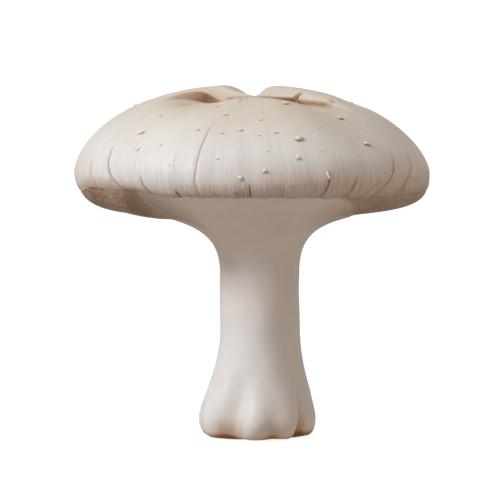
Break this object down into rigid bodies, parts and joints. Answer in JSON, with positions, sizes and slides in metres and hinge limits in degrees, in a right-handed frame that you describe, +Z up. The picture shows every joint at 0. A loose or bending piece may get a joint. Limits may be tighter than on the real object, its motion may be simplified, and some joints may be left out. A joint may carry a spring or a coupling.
{
  "type": "button mushroom",
  "caption": "Fresh button mushroom with a broad pale cap, a rolled margin and a smooth stem that widens to a lobed foot, standing on its flat cut end.",
  "frame": {"origin": "on the surface the mushroom stands on, under the middle of its bounding box", "axes": "+Z up along the stem, -Y the front, where the skin's edge is held by the stem's flare, +X to the right"},
  "size_m": [0.06, 0.0586, 0.0592],
  "materials": {
    "cap_skin": "satin, finely fibrous, off-white with brown streaks",
    "stem_flesh": "smooth satin, off-white, browned at the foot"
  },
  "bodies": {
    "root": {"cap": "cap_skin", "stem": "stem_flesh"}
  },
  "joints": []
}
